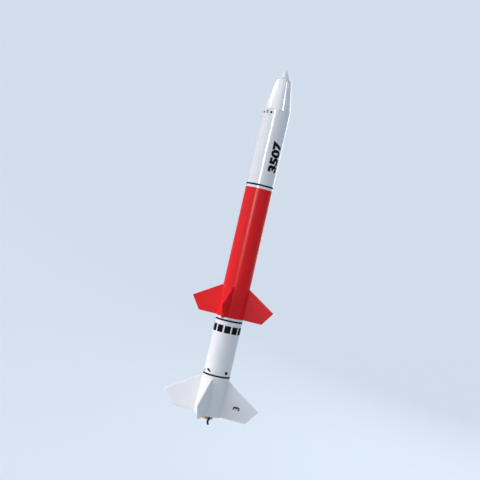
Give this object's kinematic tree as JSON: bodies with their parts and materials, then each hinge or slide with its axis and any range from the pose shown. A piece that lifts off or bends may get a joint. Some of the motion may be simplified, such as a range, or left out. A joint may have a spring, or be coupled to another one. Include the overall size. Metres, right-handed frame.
{
  "type": "model rocket",
  "caption": "Slender model rocket: white and red paper tube, a row of swept upper fins and a larger lower row, pointed nose that pulls off, folded parachute, motor and spring hook.",
  "frame": {"origin": "on the tube's axis, at the level of the engine hook's lower tip, the rocket's lowest point", "axes": "+Z along the tube's axis to the nose; +X and +Y each run along one fin of both rows"},
  "size_m": [0.152, 0.152, 0.5542],
  "materials": {
    "painted_tube": "gloss spray paint, white with a long red section",
    "red_balsa": "gloss red paint on sanded balsa",
    "white_balsa": "gloss white paint on sanded balsa",
    "white_paper": "white paper",
    "kraft_paper": "bare kraft paper, spiral wound",
    "ring_card": "die-cut card with a brown edge",
    "black_film": "satin plastic film",
    "hook_steel": "blackened spring steel",
    "motor_paper": "hard wound paper, smooth",
    "motor_clay": "pressed clay, matt",
    "black_powder": "pressed powder, matt",
    "delay_powder": "pressed powder, matt",
    "elastic": "woven flat elastic",
    "wadding_tissue": "crumpled flame-proof tissue",
    "chute_film": "thin glossy plastic film, folded",
    "line_thread": "twisted thread",
    "nose_plastic": "gloss white moulded plastic",
    "black_decal": "gloss decal film"
  },
  "bodies": {
    "airframe": {"body_tube": "painted_tube", "upper_fin_1": "red_balsa", "upper_fin_2": "red_balsa", "upper_fin_3": "red_balsa", "upper_fin_4": "red_balsa", "lower_fin_1": "white_balsa", "lower_fin_2": "white_balsa", "lower_fin_3": "white_balsa", "lower_fin_4": "white_balsa", "launch_lug": "white_paper", "upper_ring_decal": "black_decal", "thin_line_decal": "black_decal", "window_belt_decal": "black_decal", "lower_ring_decal": "black_decal", "motor_tube": "kraft_paper", "forward_centering_ring": "ring_card", "aft_centering_ring": "ring_card", "thrust_ring": "ring_card", "hook_retainer_band": "black_film", "motor_casing": "motor_paper", "motor_nozzle": "motor_clay", "propellant_grain": "black_powder", "delay_charge": "delay_powder", "ejection_charge": "black_powder", "motor_end_cap": "white_paper", "shock_cord_mount": "white_paper", "shock_cord": "elastic"},
    "nose": {"nose_base": "nose_plastic", "nose_cone": "nose_plastic"},
    "parachute": {"parachute_canopy": "chute_film", "shroud_lines": "line_thread"},
    "wadding": {"recovery_wadding": "wadding_tissue"},
    "hook": {"engine_hook": "hook_steel"}
  },
  "joints": [
    {"name": "nose_slide", "type": "slide", "parent": "airframe", "child": "nose", "axis": [0, 0, 1], "range_m": [0, 0.4], "deforming": ["shock_cord"]},
    {"name": "parachute_slide", "type": "slide", "parent": "nose", "child": "parachute", "axis": [0, 0, -1], "range_m": [0, 0.2], "deforming": ["shroud_lines"]},
    {"name": "wadding_slide", "type": "slide", "parent": "airframe", "child": "wadding", "axis": [0, 0, 1], "range_m": [0, 0.2]},
    {"name": "hook_flex", "type": "hinge", "parent": "airframe", "child": "hook", "pos_m": [0.00541, -0.00833, 0.0784], "axis": [-0.8387, -0.5446, 0], "range_deg": [0, 2.5], "stiffness_Nm_per_rad": 0.05}
  ],
  "couplings": [
    {"joint": "parachute_slide", "follows": "nose_slide", "ratio": 0.5},
    {"joint": "wadding_slide", "follows": "nose_slide", "ratio": 0.5}
  ]
}
